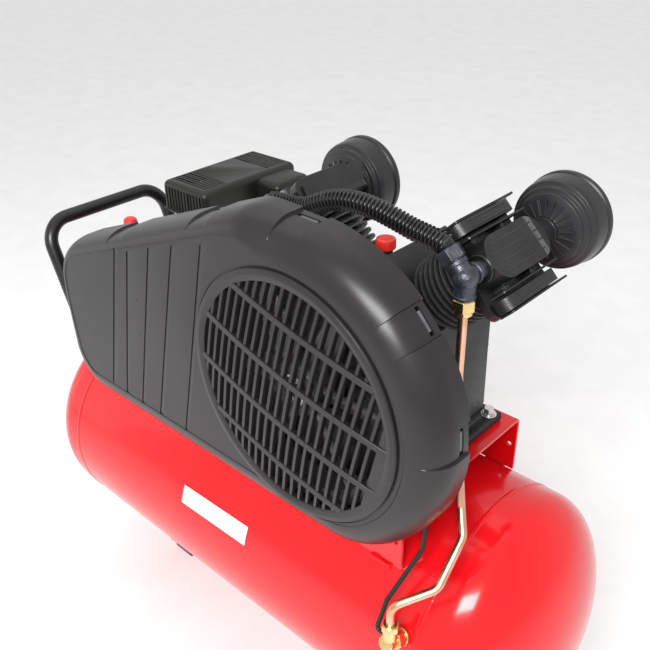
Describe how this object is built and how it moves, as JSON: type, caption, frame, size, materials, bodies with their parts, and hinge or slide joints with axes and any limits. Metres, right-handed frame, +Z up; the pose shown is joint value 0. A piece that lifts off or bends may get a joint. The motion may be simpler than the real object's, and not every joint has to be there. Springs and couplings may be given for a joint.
{
  "type": "belt-driven air compressor",
  "caption": "Belt-driven piston air compressor: V-twin finned pump, motor and slatted belt guard on a horizontal wheeled receiver with a bent-tube handle.",
  "frame": {"origin": "centre of the overall bounding box in plan, on the floor", "axes": "+X along the receiver towards the pump end, +Y away from the belt guard, +Z up"},
  "size_m": [0.977, 0.442, 0.8789],
  "materials": {
    "tank_red": "gloss",
    "bracket_red": "gloss",
    "axle_steel": "zinc plated",
    "wheel_plastic": "satin",
    "tyre_rubber": "matt",
    "foot_rubber": "matt",
    "handle_black": "satin",
    "motor_paint": "painted, satin",
    "black_plastic": "satin",
    "machined_steel": "machined",
    "piston_alloy": "machined",
    "wheel_iron": "painted, turned rim",
    "pump_iron": "painted, matt",
    "head_alloy": "painted, satin",
    "filter_plastic": "satin",
    "sight_window": "clear",
    "red_plastic": "gloss",
    "tube_black": "satin",
    "line_black": "satin",
    "fitting_steel": "blackened",
    "brass": "plain",
    "copper": "bright copper tube",
    "zinc": "zinc plated",
    "belt_rubber": "matt",
    "guard_plastic": "satin, moulded"
  },
  "bodies": {
    "machine": {"tank_shell": "tank_red", "tank_head_left": "tank_red", "tank_head_right": "tank_red", "platform": "tank_red", "axle_bracket_front": "bracket_red", "axle_bracket_back": "bracket_red", "foot_bracket": "bracket_red", "axle": "axle_steel", "rubber_foot": "foot_rubber", "handle": "handle_black", "motor_stator": "motor_paint", "motor_bell_front": "motor_paint", "motor_fan_cowl": "black_plastic", "capacitor_box": "black_plastic", "belt": "belt_rubber", "guard_front": "guard_plastic", "guard_grille": "guard_plastic", "guard_rear": "guard_plastic", "crankcase": "pump_iron", "crankcase_cover": "pump_iron", "sight_glass": "sight_window", "barrel_left": "pump_iron", "barrel_right": "pump_iron", "head_left": "head_alloy", "head_right": "head_alloy", "filter_left": "filter_plastic", "filter_right": "filter_plastic", "tee_right": "fitting_steel", "elbow_left": "fitting_steel", "ribbed_tube": "tube_black", "brass_nut": "brass", "copper_pipe": "copper", "check_valve": "brass", "unloader_line": "line_black", "manifold": "brass", "pressure_switch": "black_plastic", "regulator": "zinc", "pressure_gauge": "zinc", "safety_valve": "brass", "outlet_tap": "brass", "drain_valve": "brass"},
    "crank": {"crankshaft": "machined_steel", "flywheel": "wheel_iron"},
    "rotor": {"motor_rotor": "machined_steel", "motor_pulley": "wheel_iron", "motor_fan": "black_plastic"},
    "piston_left": {"piston_left": "piston_alloy"},
    "piston_right": {"piston_right": "piston_alloy"},
    "rod_left": {"rod_left": "machined_steel"},
    "rod_right": {"rod_right": "machined_steel"},
    "wheel_front": {"wheel_tyre_front": "tyre_rubber", "wheel_rim_front": "wheel_plastic"},
    "wheel_back": {"wheel_tyre_back": "tyre_rubber", "wheel_rim_back": "wheel_plastic"},
    "switch_knob": {"switch_knob": "red_plastic"},
    "regulator_knob": {"regulator_knob": "black_plastic"},
    "tap_lever": {"tap_lever": "red_plastic"},
    "safety_ring": {"safety_ring": "zinc"},
    "drain_wing": {"drain_wing": "brass"},
    "oil_cap": {"oil_cap": "red_plastic"}
  },
  "joints": [
    {"name": "crank_spin", "type": "hinge", "parent": "machine", "child": "crank", "pos_m": [0.188, -0.012, 0.673], "axis": [0, 1, 0], "continuous": true},
    {"name": "rotor_spin", "type": "hinge", "parent": "machine", "child": "rotor", "pos_m": [-0.232, -0.012, 0.611], "axis": [0, 1, 0], "continuous": true},
    {"name": "piston_slide_left", "type": "slide", "parent": "machine", "child": "piston_left", "axis": [-0.7071, 0, 0.7071], "range_m": [-0.0398, 0.0081]},
    {"name": "piston_slide_right", "type": "slide", "parent": "machine", "child": "piston_right", "axis": [0.7071, 0, 0.7071], "range_m": [-0.0398, 0.0081]},
    {"name": "rod_swing_left", "type": "hinge", "parent": "piston_left", "child": "rod_left", "pos_m": [0.08807, -0.017, 0.77293], "axis": [0, 1, 0], "range_deg": [-3.2, 18.7]},
    {"name": "rod_swing_right", "type": "hinge", "parent": "piston_right", "child": "rod_right", "pos_m": [0.28793, 0.008, 0.77293], "axis": [0, 1, 0], "range_deg": [-18.7, 3.2]},
    {"name": "wheel_spin_front", "type": "hinge", "parent": "machine", "child": "wheel_front", "pos_m": [0.33, -0.2, 0.095], "axis": [0, 1, 0], "continuous": true},
    {"name": "wheel_spin_back", "type": "hinge", "parent": "machine", "child": "wheel_back", "pos_m": [0.33, 0.176, 0.095], "axis": [0, 1, 0], "continuous": true},
    {"name": "switch_knob_slide", "type": "slide", "parent": "machine", "child": "switch_knob", "axis": [0, 0, 1], "range_m": [-0.006, 0]},
    {"name": "regulator_knob_turn", "type": "hinge", "parent": "machine", "child": "regulator_knob", "pos_m": [-0.349, 0.035, 0.543], "axis": [0, 0, 1], "range_deg": [0, 720]},
    {"name": "tap_lever_turn", "type": "hinge", "parent": "machine", "child": "tap_lever", "pos_m": [-0.349, -0.0863, 0.5358], "axis": [0, 0, 1], "range_deg": [-90, 0]},
    {"name": "safety_ring_pull", "type": "slide", "parent": "machine", "child": "safety_ring", "axis": [-1, 0, 0], "range_m": [0, 0.004], "stiffness_N_per_m": 400},
    {"name": "drain_wing_turn", "type": "hinge", "parent": "machine", "child": "drain_wing", "pos_m": [0, -0.012, 0.0874], "axis": [0, 0, 1], "range_deg": [0, 360]},
    {"name": "oil_cap_turn", "type": "hinge", "parent": "machine", "child": "oil_cap", "pos_m": [0.174, -0.012, 0.7805], "axis": [0, 0, 1], "range_deg": [0, 720]}
  ],
  "couplings": [
    {"joint": "rotor_spin", "follows": "crank_spin", "ratio": 3.1505}
  ]
}
